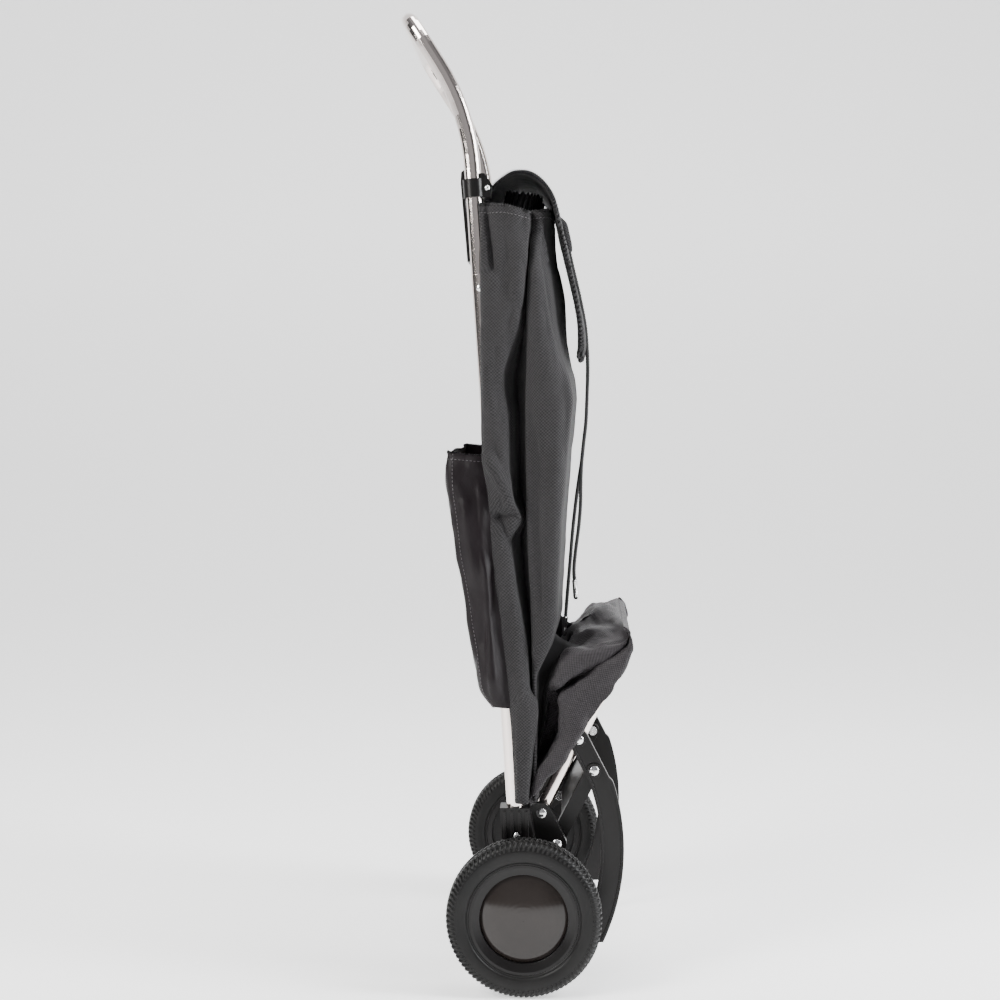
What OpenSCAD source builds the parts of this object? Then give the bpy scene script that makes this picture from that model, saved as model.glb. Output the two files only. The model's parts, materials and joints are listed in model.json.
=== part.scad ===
// Folding shopping trolley: tube frame, two wheels, fold-out shelf with feet, and a cloth bag.
// Millimetres, +Z up, +X forward. The origin is on the floor under the middle of the trolley.

/* [Wheels] */
// Diameter of the tyre
wheel_d = 165; // [150:1:180]
// Width of the tyre
tyre_w = 32; // [26:1:36]
// Distance between the outer faces of the two tyres
overall_w = 400; // [390:1:430]
// Diameter of the domed hub cap
hubcap_d = 93; // [84:1:94]
// Diameter of the axle rod
axle_d = 12; // [10:0.5:13]

/* [Frame] */
// Outer diameter of the side tubes and the handle
tube_d = 18; // [16:0.5:20]
// Distance between the centre lines of the side tubes
tube_spacing = 280; // [276:1:286]
// Lean of the side tubes, back from upright, in degrees
frame_lean = 3.84; // [3:0.01:5]
// Height of the centre of the handle's crossbar
handle_z = 1048; // [1040:1:1060]
// Lean of the top of the handle, back from upright, in degrees
handle_lean = 32.4; // [28:0.1:34]
// Radius of the bend from the side tubes to the handle
handle_bend_r = 240; // [220:1:250]
// Radius of the handle's two top corners
corner_r = 40; // [30:1:50]
// Wall thickness of every tube
tube_wall = 1.2; // [1:0.1:2]

/* [Fold-out shelf] */
// Outer diameter of the shelf tube
shelf_tube_d = 15; // [13:0.5:16]
// Distance from the shelf's pivot to the centre of its crossbar
shelf_reach = 192; // [180:1:200]
// Angle of the folded shelf from upright, in degrees
fold_angle = 27; // [24:0.5:30]
// Turn from folded to open, where the feet reach the floor, in degrees
open_turn = 36; // [30:1:40]
// Length of the two parallel links, pivot to pivot
link_len = 89.2; // [86:0.1:92]

/* [Bag] */
// Width of the bag
bag_w = 310; // [290:1:314]
// Height of the bag's top rim above the floor
bag_top_z = 840; // [820:1:845]
// Thickness of the bag's cloth with its lining
cloth = 2.5; // [2:0.1:3]
// Width of the flap over the bag's mouth
flap_w = 254; // [220:1:256]
// Thickness of the padded flap
flap_t = 3.5; // [3:0.1:4]
// Diameter of the drawstring
cord_d = 5; // [4:0.1:5]

/* [Hidden] */

RIGHT = -1;
LEFT = 1;
SIDES = [RIGHT, LEFT];
$fn = 64;

// Distances from the trolley's middle plane.
wheel_y = (overall_w - tyre_w) / 2;
tube_y = tube_spacing / 2;
block_in = tube_y - tube_d / 2 - 4;
block_out = tube_y + tube_d / 2 + 4;
plate_in = 119;
plate_out = 127;
ear_out = plate_out + 4;
shelf_y = 110;
strut_in = 104;
strut_out = 116;
head_h = 2.2;

// Frame points, measured in side view from the axle, as [forward, up].
axle_z = wheel_d / 2;
tube_r = tube_d / 2;
foot_of_tube = [-5.6, 110];
block_top_z = 190;
bend_start_z = 880;
joint_z = 765;
lean_slope = tan(frame_lean);

// Centre of a side tube at height z, forward of the axle.
function tube_x(z) = foot_of_tube.x - lean_slope * (z - foot_of_tube.y);
function on_tube(z) = [tube_x(z), z];

rivet_at = on_tube(750);
screw_at = on_tube(160);
screw_r = 2.5;
washer_r = 6.5;
washer_gap = 0.2;
crossbar_at = on_tube(874);
crossbar_r = 6;

// The handle's bend ends here, and its crossbar is at the end of the straight that follows.
bend_end = [tube_x(bend_start_z) - handle_bend_r * (cos(frame_lean) - cos(handle_lean)),
            bend_start_z + handle_bend_r * (sin(handle_lean) - sin(frame_lean))];
handle_straight = (handle_z - bend_end.y) / cos(handle_lean);
handle_end = [bend_end.x - handle_straight * sin(handle_lean), handle_z];

// Pivots of the folding parallelogram: shelf C to A, strut D to B.
shelf_pivot = [17, 179.6];
leg_offset = [16.7, -33.5];
fold_dir = [sin(fold_angle), cos(fold_angle)];
leg_pivot = shelf_pivot + link_len * fold_dir;
strut_pivot = shelf_pivot + leg_offset;
link_pivot = leg_pivot + leg_offset;
pin_r = 3;
run_gap = 0.05;
open_gap = 0.4;
sole_z = link_len * (cos(fold_angle) - cos(fold_angle + open_turn));

// The axle's place forward of the origin puts the origin under the middle of the trolley.
shelf_tube_r = shelf_tube_d / 2;
back_x = handle_end.x - tube_r;
front_x = shelf_pivot.x + shelf_reach * sin(fold_angle) + shelf_tube_r;
axle_x = -(back_x + front_x) / 2;

// Leg: a curved band, then a straight top that carries both pivots.
leg_centre = [-129, 140];
leg_r_in = 211;
leg_r_out = 236;
leg_top_angle = 17.6;
leg_bottom_angle = -30;
leg_hub_r = 11;
leg_post_r = 8;

// Wheel radii and distances along the axle from the middle of the tyre, outwards positive.
rim_r = 58;
drum_r = 52;
web_t = 8;
hub_r = 14;
bush_r = 9;
hub_in = -18;
hub_out = 2;
axle_half = wheel_y + 6;
cap_rise = 10;
cap_recess = 10.5;

// Sizes of the cutters for the tubes' space and for the soles.
tube_space_length = 900;
sole_cut = 100;

// Bag: its front in side view, from the bottom to the rim. Its back lies on the side tubes.
bag_front = [[6, 205], [14, 250], [29, 330], [31, 390], [38, 500], [48, 600], [50, 630],
             [45, 652], [28, 710], [15, 785], [4, bag_top_z]];
bag_bottom_z = bag_front[0].y;
bag_gap = 0.6;
function bag_back_x(z) = tube_x(z) + tube_r / cos(frame_lean) + bag_gap;

// The cloth strip that joins the bag's back to the flap, and the flap from its hinge line to its tip.
flap_hinge = [-24, 872.5];
yoke_t = 3;
yoke = [[-43.8, 836], [-42, 851], [-34, 864], flap_hinge + [-3, -2.5]];
flap_line = [flap_hinge + [5, 3], [-11, 878.5], [3, 877.5], [16, 870], [26, 857.5], [32.5, 841.5],
             [40, 808], [47, 779], [54, 749], [60, 716], [62, 690], [60, 679]];

// Bag floor on the shelf, as [along the shelf, behind the shelf].
tray = [[24, 11.6], [210, 11.6], [244, 24], [246, 44], [185, 56], [60, 26]];
tray_cut = [[30, 14.6], [209, 14.6], [241, 26.5], [243, 70], [20, 70]];
tray_w = 296;
tray_wall = 3;
board_t = 4;
board_w = 230;
board_from = 24;
board_to = 185;

// Rear pocket: its back in side view, from the top to the bottom.
pocket_back = [[-83, 568], [-83, 535], [-72, 460], [-60, 387], [-47, 313], [-29, 302]];
pocket_top_z = 575;
pocket_bottom_z = 299;
pocket_w = 306;
pocket_wall = 3;

// Drawstring routes, from the tab on the flap to each end, as [forward, across, up].
cord_shared = [[46.6, 801], [51.3, 780], [58.4, 750], [64.8, 717], [67.2, 690], [68, 665],
               [67.4, 640], [66, 605], [63.5, 582], [61, 558]];
short_strand = concat([for (p = cord_shared) [p.x, -4, p.y]],
                      [[60, -4, 535], [59.6, -5, 508], [57.5, -6, 482], [54, -6, 455],
                       [52, -6, 432], [53, -6, 418]]);
long_strand = concat([for (p = cord_shared) [p.x, 4, p.y]],
                     [[57.5, 4, 535], [53.9, 5, 508], [50.4, 6, 476], [47.5, 6, 441],
                      [44.5, 6, 406], [42, 6, 374]]);
cord_steps = 2;
cord_sides = 10;
tip_r = 3.1;
tip_len = 20;

// Moves a piece from the axle's frame to the trolley's.
module placed() {
    translate([axle_x, 0, 0])
        children();
}

// Extrudes a side view outline across the trolley, between two places in Y.
module across(y_low, y_high) {
    translate([0, y_high, 0])
        rotate([90, 0, 0])
            linear_extrude(y_high - y_low)
                children();
}

// The same on one side, between two distances from the middle plane.
module slab(side, near, far) {
    across(side == LEFT ? near : -far, side == LEFT ? far : -near)
        children();
}

// A rod across the trolley at a side view point.
module rod(point, y_low, y_high, r) {
    translate([point.x, y_low, point.y])
        rotate([-90, 0, 0])
            cylinder(h = y_high - y_low, r = r);
}

module side_rod(side, point, near, far, r) {
    rod(point, side == LEFT ? near : -far, side == LEFT ? far : -near, r);
}

// A low dome on a rivet or screw, standing out from a face.
module dome_head(side, point, face, r, h = head_h) {
    translate([point.x, side * face, point.y])
        rotate([side == LEFT ? -90 : 90, 0, 0])
            rotate_extrude()
                intersection() {
                    translate([0, h - (r * r + h * h) / (2 * h)])
                        circle(r = (r * r + h * h) / (2 * h), $fn = 96);
                    square([r + 1, h]);
                }
}

// A rivet with a dome outside and a flat collar inside.
module rivet(side, point, near, far, head_r = 5.5) {
    side_rod(side, point, near, far, pin_r);
    dome_head(side, point, far, head_r);
    side_rod(side, point, near - head_h, near, head_r);
}

// A strip between two points, and the same with round ends.
module strip_outline(p, q, r) {
    n = [p.y - q.y, q.x - p.x] * (r / norm(q - p));
    polygon([p + n, q + n, q - n, p - n]);
}

module link_outline(p, q, r) {
    strip_outline(p, q, r);
    for (point = [p, q])
        translate(point)
            circle(r = r);
}

// A strip of constant thickness along a line of points.
function unit(v) = v / norm(v);
function line_normal(points, i) =
    let (last = len(points) - 1,
         t = unit(points[min(i + 1, last)] - points[max(i - 1, 0)]))
        [-t.y, t.x];
module ribbon(points, t, shift = 0) {
    last = len(points) - 1;
    polygon(concat([for (i = [0 : last]) points[i] + (shift + t / 2) * line_normal(points, i)],
                   [for (i = [last : -1 : 0]) points[i] + (shift - t / 2) * line_normal(points, i)]));
}

module ring_outline(r_out, r_in) {
    difference() {
        circle(r = r_out);
        circle(r = r_in);
    }
}

// Frame of a side tube: local Z runs up the tube from its foot.
module along_tube(side) {
    translate([foot_of_tube.x, side * tube_y, foot_of_tube.y])
        rotate([0, -frame_lean, 0])
            children();
}

// The space that a side tube takes up, cut out of whatever sits against it.
module tube_space(side) {
    along_tube(side)
        cylinder(h = tube_space_length, r = tube_r);
}

// A bore straight through a side tube.
module tube_bore(side, point, r) {
    side_rod(side, point, tube_y - tube_d, tube_y + tube_d, r);
}

function tube_run(z) = (z - foot_of_tube.y) / cos(frame_lean);

module side_tube(side) {
    color("silver")
        placed()
            difference() {
                along_tube(side)
                    linear_extrude(tube_run(joint_z))
                        ring_outline(tube_r, tube_r - tube_wall);
                tube_bore(side, rivet_at, pin_r);
                tube_bore(side, screw_at, screw_r);
            }
}

// The plug that joins the handle to a side tube.
module tube_spigot(side) {
    spigot_r = tube_r - tube_wall;
    half_length = 40;
    wall = 1.5;
    color("dimgray")
        placed()
            difference() {
                along_tube(side)
                    translate([0, 0, tube_run(joint_z) - half_length])
                        linear_extrude(2 * half_length)
                            ring_outline(spigot_r, spigot_r - wall);
                tube_bore(side, rivet_at, pin_r);
            }
}

// The handle's centre line on the left, from its joint up to the crossbar, then across to the right.
function handle_half(side) =
    let (up = [-sin(handle_lean), 0, cos(handle_lean)],
         bend_c = [bend_end.x - handle_bend_r * cos(handle_lean),
                   bend_end.y - handle_bend_r * sin(handle_lean)],
         corner_c = [handle_end.x, 0, handle_end.y] - corner_r * up
                    + [0, side * (tube_y - corner_r), 0])
        concat([[tube_x(joint_z), side * tube_y, joint_z]],
               [for (p = arc(bend_c, handle_bend_r, frame_lean, handle_lean, 8))
                   [p.x, side * tube_y, p.y]],
               [for (a = [0 : 10 : 90])
                   corner_c + corner_r * (sin(a) * up + cos(a) * [0, side, 0])]);
function reversed(v) = [for (i = [len(v) - 1 : -1 : 0]) v[i]];

// A pipe of bent tube: an outer and an inner wall round one centre line. The line never runs along out.
module bent_pipe(line, out, r_out, r_in, sides) {
    last = len(line) - 1;
    rings = [for (i = [0 : last])
        let (t = unit(line[min(i + 1, last)] - line[max(i - 1, 0)]),
             n = unit(cross(t, out)),
             b = cross(t, n))
            for (r = [r_out, r_in / cos(180 / sides)], k = [0 : sides - 1])
                line[i] + r * (n * cos(360 * k / sides) + b * sin(360 * k / sides))];
    ring = 2 * sides;
    walls = [for (i = [0 : last - 1], k = [0 : sides - 1])
        let (next = (k + 1) % sides,
             a = i * ring,
             c = a + ring)
            each [[a + k, c + k, c + next], [a + k, c + next, a + next],
                  [a + sides + k, c + sides + next, c + sides + k],
                  [a + sides + k, a + sides + next, c + sides + next]]];
    ends = [for (k = [0 : sides - 1])
        let (next = (k + 1) % sides,
             a = last * ring)
            each [[k, next, sides + next], [k, sides + next, sides + k],
                  [a + k, a + sides + next, a + next], [a + k, a + sides + k, a + sides + next]]];
    polyhedron(points = rings, faces = concat(walls, ends));
}

// One bent tube: two sides that bend back, two corners and the crossbar.
module handle_bow() {
    color("silver")
        placed()
            bent_pipe(concat(handle_half(RIGHT), reversed(handle_half(LEFT))),
                      [cos(handle_lean), 0, sin(handle_lean)], tube_r, tube_r - tube_wall, 20);
}

// A quarter bend from straight up to straight in, on one side.
module corner(side, bend_r, r) {
    rotate([90, 0, 90])
        rotate([0, 0, side == LEFT ? 0 : 90])
            rotate_extrude(angle = 90)
                translate([bend_r, 0])
                    ring_outline(r, r - tube_wall);
}

module tube_rivets() {
    color("gainsboro")
        placed()
            for (side = SIDES) {
                side_rod(side, rivet_at, tube_y - tube_r, tube_y + tube_r, pin_r);
                dome_head(side, rivet_at, tube_y + tube_r, 4, 1.6);
            }
}

module upper_crossbar() {
    color("silver")
        placed()
            difference() {
                rod(crossbar_at, -tube_y, tube_y, crossbar_r);
                for (side = SIDES)
                    tube_space(side);
            }
}

// A leaf behind the tubes, open at its foot, that hangs the trolley on a rail.
module hanging_hook() {
    leaf = [crossbar_at + [-2, 7.5], [-66, 882], [-70, 879], [-70.5, 868], [-64.5, 800], [-63, 781]];
    leaf_t = 3;
    half_width = 115;
    color([0.08, 0.08, 0.08])
        placed()
            difference() {
                union() {
                    rod(crossbar_at, -half_width, half_width, crossbar_r + leaf_t);
                    across(-half_width, half_width)
                        ribbon(leaf, leaf_t);
                }
                rod(crossbar_at, -tube_y, tube_y, crossbar_r);
            }
}

module lower_crossbar() {
    color("silver")
        placed()
            difference() {
                rod(on_tube(232), -tube_y, tube_y, 7);
                for (side = SIDES)
                    tube_space(side);
            }
}

// Moulded block that holds a side tube and the axle, with an ear for the two link pivots.
module bracket(side) {
    color([0.1, 0.1, 0.1])
        placed()
            difference() {
                union() {
                    slab(side, block_in, block_out) {
                        polygon([[-27, block_top_z], [5, block_top_z], [20, axle_z], [-20, axle_z]]);
                        translate([0, axle_z])
                            circle(r = 20);
                    }
                    slab(side, plate_in, ear_out) {
                        link_outline(shelf_pivot, strut_pivot, leg_hub_r);
                        link_outline([-6, 172], shelf_pivot, leg_hub_r);
                        link_outline([2, 124], strut_pivot, leg_hub_r);
                        polygon([[-6, 172], shelf_pivot, strut_pivot, [2, 124]]);
                    }
                    for (x = [-22 : 8 : 2])
                        slab(side, block_out, block_out + 1.4)
                            polygon([[x, 112], [x + 3, 112], [x + 1.5, 187], [x - 1.5, 187]]);
                }
                tube_space(side);
                side_rod(side, [0, axle_z], 0, overall_w, axle_d / 2);
                side_rod(side, shelf_pivot, 0, overall_w, pin_r);
                side_rod(side, strut_pivot, 0, overall_w, pin_r);
                side_rod(side, screw_at, tube_y, overall_w, screw_r);
                side_rod(side, screw_at, block_out - 1, overall_w, 2 * screw_r);
            }
}

module bracket_screws() {
    color("gray")
        placed()
            for (side = SIDES) {
                side_rod(side, screw_at, tube_y + tube_r - 3, block_out - 1, screw_r);
                dome_head(side, screw_at, block_out - 1, 4.6, 2.4);
            }
}

module axle() {
    color("silver")
        placed()
            rod([0, axle_z], -axle_half, axle_half, axle_d / 2);
}

module axle_spacers() {
    color([0.2, 0.2, 0.2])
        placed()
            for (side = SIDES)
                difference() {
                    side_rod(side, [0, axle_z], block_out, wheel_y + hub_in - 0.3, bush_r);
                    side_rod(side, [0, axle_z], 0, overall_w, axle_d / 2);
                }
}

module axle_nuts() {
    color("gainsboro")
        placed()
            for (side = SIDES)
                difference() {
                    side_rod(side, [0, axle_z], wheel_y + hub_out + 0.3, axle_half + 1.5, bush_r);
                    side_rod(side, [0, axle_z], 0, axle_half, axle_d / 2);
                }
}

module shelf_pivot_rivets() {
    color("gainsboro")
        placed()
            for (side = SIDES)
                rivet(side, shelf_pivot, shelf_y - shelf_tube_r - 0.3, ear_out);
}

module strut_pivot_rivets() {
    color("gainsboro")
        placed()
            for (side = SIDES)
                rivet(side, strut_pivot, strut_in - 0.3, ear_out);
}

// A washer on each side, between two distances from the middle plane.
module washers(point, near, far) {
    for (side = SIDES)
        difference() {
            side_rod(side, point, near, far, washer_r);
            side_rod(side, point, 0, overall_w, pin_r);
        }
}

module shelf_pivot_washers() {
    color("dimgray")
        placed()
            washers(shelf_pivot, shelf_y + shelf_tube_r + washer_gap, plate_in);
}

module strut_pivot_washers() {
    color("dimgray")
        placed()
            washers(strut_pivot, strut_out + washer_gap, plate_in);
}

// Side view of the inside or the outside of the bag's column.
module bag_outline(wall, bottom, top) {
    polygon(concat([for (p = bag_front) [p.x - wall, max(p.y, bottom)]],
                   [[bag_front[len(bag_front) - 1].x - wall, top], [bag_back_x(top) + wall, top],
                    [bag_back_x(bottom) + wall, bottom]]));
}

// The cloth column, open at the top, with the yoke to the flap and a tab at each clip.
module bag_body() {
    color([0.25, 0.25, 0.26])
        placed() {
            difference() {
                across(-bag_w / 2, bag_w / 2)
                    bag_outline(0, bag_bottom_z, bag_top_z);
                across(cloth - bag_w / 2, bag_w / 2 - cloth)
                    bag_outline(cloth, bag_bottom_z + cloth, bag_top_z + 10);
            }
            across(-flap_w / 2, flap_w / 2)
                ribbon(yoke, yoke_t);
            for (side = SIDES)
                slab(side, clip_in + 2, clip_out - 2)
                    polygon([[-44.5, 836], [-42.2, 836], [-42.2, clip_z_low], [-44.5, clip_z_low]]);
        }
}

// The pocket wraps round the outside of both side tubes and ends on the bag's back.
module rear_pocket() {
    half = pocket_w / 2;
    inner = [for (p = pocket_back) [p.x + pocket_wall, p.y + (p.x > -40 ? pocket_wall : 0)]];
    color([0.22, 0.19, 0.21])
        placed()
            difference() {
                across(-half, half)
                    polygon(concat(pocket_back,
                                   [[bag_back_x(pocket_bottom_z), pocket_bottom_z],
                                    [bag_back_x(pocket_top_z), pocket_top_z]]));
                across(pocket_wall - half, half - pocket_wall)
                    polygon(concat([[inner[0].x, 600]], inner,
                                   [[20, pocket_bottom_z + pocket_wall], [20, 600]]));
                for (side = SIDES)
                    tube_space(side);
            }
}

clip_z_low = 848;
clip_z_high = 868;
clip_in = 133;
clip_out = 147;
clip_rivet_at = [-41, 858];

// A ring on each side tube with a lug that holds the bag's top corner.
module bag_clips() {
    color([0.06, 0.06, 0.06])
        placed()
            for (side = SIDES)
                difference() {
                    union() {
                        along_tube(side)
                            translate([0, 0, tube_run(clip_z_low)])
                                cylinder(h = tube_run(clip_z_high) - tube_run(clip_z_low),
                                         r = tube_r + 2.5);
                        slab(side, clip_in, clip_out)
                            polygon([[-52, clip_z_low], [-37, clip_z_low], [-36, 862],
                                     [-44, clip_z_high + 6], [-50, clip_z_high + 6]]);
                    }
                    tube_space(side);
                    rod(crossbar_at, -tube_y, tube_y, crossbar_r);
                    side_rod(side, clip_rivet_at, 0, overall_w, 2);
                }
}

module clip_rivets() {
    color("white")
        placed()
            for (side = SIDES) {
                side_rod(side, clip_rivet_at, clip_in, clip_out, 2);
                dome_head(side, clip_rivet_at, clip_out, 3.2, 1.8);
            }
}

function arc(centre, r, from, to, steps) =
    [for (i = [0 : steps]) centre + r * [cos(from + (to - from) * i / steps),
                                         sin(from + (to - from) * i / steps)]];

// Turns a profile of [radius, distance outwards] about the axle on one side.
module wheel_turned(side) {
    translate([0, side * wheel_y, axle_z])
        rotate([side == LEFT ? -90 : 90, 0, 0])
            rotate_extrude($fn = 96)
                children();
}

module tyre(side) {
    half = tyre_w / 2;
    shoulder = 8;
    crown = wheel_d / 2;
    color([0.05, 0.05, 0.05])
        placed()
            wheel_turned(side)
                polygon(concat([[rim_r, -half + 3], [rim_r + 4, -half + 0.5]],
                               arc([crown - shoulder, -half + shoulder], shoulder, -90, 0, 6),
                               arc([crown - shoulder, half - shoulder], shoulder, 0, 90, 6),
                               [[rim_r + 4, half - 0.5], [rim_r, half - 3]]));
}

// Drum, web and hub in one, with a bevelled ring outside.
module rim(side) {
    drum_half = tyre_w / 2 - 3;
    web_half = web_t / 2;
    cap_r = hubcap_d / 2 + 0.3;
    color([0.09, 0.09, 0.09])
        placed()
            wheel_turned(side)
                polygon([[bush_r, hub_in], [hub_r, hub_in], [hub_r, -web_half],
                         [drum_r, -web_half], [drum_r, -drum_half], [rim_r, -drum_half],
                         [rim_r, drum_half], [rim_r - 3, drum_half], [cap_r, drum_half - 3.5],
                         [cap_r, web_half], [hub_r, web_half], [hub_r, hub_out], [bush_r, hub_out]]);
}

// Shallow dome with a skirt that snaps into the rim.
module hubcap(side) {
    cap_r = hubcap_d / 2;
    skirt_top = tyre_w / 2 - cap_recess;
    dome_r = (cap_r * cap_r + cap_rise * cap_rise) / (2 * cap_rise);
    dome_c = [0, skirt_top + cap_rise - dome_r];
    edge = asin(cap_r / dome_r);
    color([0.12, 0.12, 0.12])
        placed()
            wheel_turned(side)
                polygon(concat([[cap_r - 2.5, web_t / 2], [cap_r, web_t / 2]],
                               arc(dome_c, dome_r, 90 - edge, 90, 10),
                               arc(dome_c, dome_r - 2, 90, 90 - edge + 4, 8)));
}

module bush(side) {
    color([0.85, 0.85, 0.8])
        placed()
            wheel_turned(side)
                translate([axle_d / 2 + run_gap, hub_in])
                    square([bush_r - axle_d / 2 - run_gap, hub_out - hub_in]);
}

// Frame of the shelf: local Z runs along it from its pivot, local -X is behind it.
module on_shelf() {
    translate([shelf_pivot.x, 0, shelf_pivot.y])
        rotate([0, fold_angle, 0])
            children();
}

// A U of tube: two legs, two corners and a crossbar.
module shelf_tube() {
    bend = 25;
    tail = 10;
    color("silver")
        placed()
            difference() {
                on_shelf() {
                    for (side = SIDES) {
                        translate([0, side * shelf_y, -tail])
                            linear_extrude(shelf_reach - bend + tail)
                                ring_outline(shelf_tube_r, shelf_tube_r - tube_wall);
                        translate([0, side * (shelf_y - bend), shelf_reach - bend])
                            corner(side, bend, shelf_tube_r);
                    }
                    translate([0, bend - shelf_y, shelf_reach])
                        rotate([-90, 0, 0])
                            linear_extrude(2 * (shelf_y - bend))
                                ring_outline(shelf_tube_r, shelf_tube_r - tube_wall);
                }
                rod(shelf_pivot, -overall_w, overall_w, pin_r + run_gap);
                rod(leg_pivot, -overall_w, overall_w, pin_r);
            }
}

module base_board() {
    color([0.3, 0.25, 0.2])
        placed()
            on_shelf()
                translate([-shelf_tube_r - board_t, -board_w / 2, board_from])
                    cube([board_t, board_w, board_to - board_from]);
}

// The cloth floor of the bag, as a shallow tray that lies on the board.
module bag_base() {
    color([0.25, 0.25, 0.26])
        placed()
            on_shelf()
                difference() {
                    across(-tray_w / 2, tray_w / 2)
                        polygon([for (p = tray) [-p.y, p.x]]);
                    across(tray_wall - tray_w / 2, tray_w / 2 - tray_wall)
                        polygon([for (p = tray_cut) [-p.y, p.x]]);
                }
}

module leg_pivot_rivets() {
    color("gainsboro")
        placed()
            for (side = SIDES)
                rivet(side, leg_pivot, shelf_y - shelf_tube_r, plate_out + 0.3);
}

module leg_pivot_washers() {
    color("dimgray")
        placed()
            washers(leg_pivot, shelf_y + shelf_tube_r, plate_in - washer_gap);
}

function on_band(r, angle) = leg_centre + r * [cos(angle), sin(angle)];

leg_mid = on_band((leg_r_in + leg_r_out) / 2, leg_top_angle);

// The curved band and the straight top of a leg, drawn in by an inset.
module leg_shape(side, near, far, inset) {
    difference() {
        union() {
            slab(side, near, far)
                polygon(concat(arc(leg_centre, leg_r_out - inset, leg_bottom_angle, leg_top_angle, 24),
                               arc(leg_centre, leg_r_in + inset, leg_top_angle, leg_bottom_angle, 24)));
            side_rod(side, leg_mid, near, far, (leg_r_out - leg_r_in) / 2 - inset);
            slab(side, near, far)
                strip_outline(leg_pivot, leg_mid, leg_hub_r - inset);
            side_rod(side, leg_pivot, near, far, leg_hub_r - inset);
        }
        slab(side, near - 1, far + 1)
            translate([0, sole_z + inset - sole_cut])
                square([2 * sole_cut, sole_cut]);
    }
}

// A curved foot with a raised edge round its outer face.
module leg(side) {
    color([0.09, 0.09, 0.09])
        placed()
            difference() {
                leg_shape(side, plate_in, plate_out, 0);
                difference() {
                    leg_shape(side, plate_out - 2, plate_out + 1, 3);
                    for (point = [leg_pivot, link_pivot])
                        side_rod(side, point, plate_in, overall_w, leg_post_r);
                }
                side_rod(side, leg_pivot, 0, overall_w, pin_r + run_gap);
                side_rod(side, link_pivot, 0, overall_w, pin_r + open_gap);
            }
}

// Two link bars and the panel between them, moulded as one.
module strut_panel() {
    panel_from = 12;
    panel_to = 80;
    panel_t = 4;
    bar_r = 8;
    color([0.14, 0.14, 0.14])
        placed()
            difference() {
                union() {
                    for (side = SIDES)
                        slab(side, strut_in, strut_out)
                            link_outline(strut_pivot, link_pivot, bar_r);
                    translate([strut_pivot.x, 0, strut_pivot.y])
                        rotate([0, fold_angle, 0])
                            translate([-panel_t / 2, -strut_in, panel_from])
                                cube([panel_t, 2 * strut_in, panel_to - panel_from]);
                }
                rod(strut_pivot, -overall_w, overall_w, pin_r + run_gap);
                rod(link_pivot, -overall_w, overall_w, pin_r);
            }
}

module link_pivot_rivets() {
    color("gainsboro")
        placed()
            for (side = SIDES)
                rivet(side, link_pivot, strut_in, plate_out + 0.3);
}

module link_pivot_washers() {
    color("dimgray")
        placed()
            washers(link_pivot, strut_out, plate_in - washer_gap);
}

module flap() {
    color([0.18, 0.18, 0.18])
        placed()
            across(-flap_w / 2, flap_w / 2)
                ribbon(flap_line, flap_t);
}

// A sewn patch on the flap's front that both ends of the drawstring come out of.
module cord_tab() {
    patch = [[34.85, 831], [40, 808], [41.93, 800]];
    tab_t = 7;
    half_width = 10;
    color([0.12, 0.12, 0.12])
        placed()
            across(-half_width, half_width)
                ribbon(patch, tab_t, (flap_t + tab_t) / 2);
}

// Points on a smooth curve through a route's own points.
function between(a, b, c, d, t) =
    0.5 * (2 * b + (c - a) * t + (2 * a - 5 * b + 4 * c - d) * t * t
           + (3 * b - a - 3 * c + d) * t * t * t);
function smooth(route, steps) =
    let (last = len(route) - 1)
        concat([for (i = [0 : last - 1], k = [0 : steps - 1])
                    between(route[max(i - 1, 0)], route[i], route[i + 1],
                            route[min(i + 2, last)], k / steps)],
               [route[last]]);

// A round tube along a curve that stays near the side view's plane.
module swept_tube(curve, r, sides) {
    last = len(curve) - 1;
    rings = [for (i = [0 : last])
        let (t = unit(curve[min(i + 1, last)] - curve[max(i - 1, 0)]),
             n = unit(cross(t, [0, 1, 0])),
             b = cross(t, n))
            for (k = [0 : sides - 1])
                curve[i] + r * (n * cos(360 * k / sides) + b * sin(360 * k / sides))];
    walls = [for (i = [0 : last - 1], k = [0 : sides - 1])
        let (next = (k + 1) % sides)
            each [[i * sides + k, (i + 1) * sides + k, (i + 1) * sides + next],
                  [i * sides + k, (i + 1) * sides + next, i * sides + next]]];
    polyhedron(points = rings,
               faces = concat([[for (k = [0 : sides - 1]) k]], walls,
                              [[for (k = [sides - 1 : -1 : 0]) last * sides + k]]));
}

module cord(route) {
    color([0.06, 0.06, 0.06])
        placed()
            swept_tube(smooth(route, cord_steps), cord_d / 2, cord_sides);
}

// A round tip in line with the end of its cord.
module cord_tip(route) {
    last = len(route) - 1;
    end = route[last];
    t = unit(end - route[last - 1]);
    color("gray")
        placed()
            translate(end)
                rotate([0, 180 + atan(t.x / t.z), 0]) {
                    cylinder(h = tip_len - 2, r = tip_r);
                    translate([0, 0, tip_len - 2])
                        cylinder(h = 2, r1 = tip_r, r2 = tip_r - 1.2);
                }
}

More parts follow.
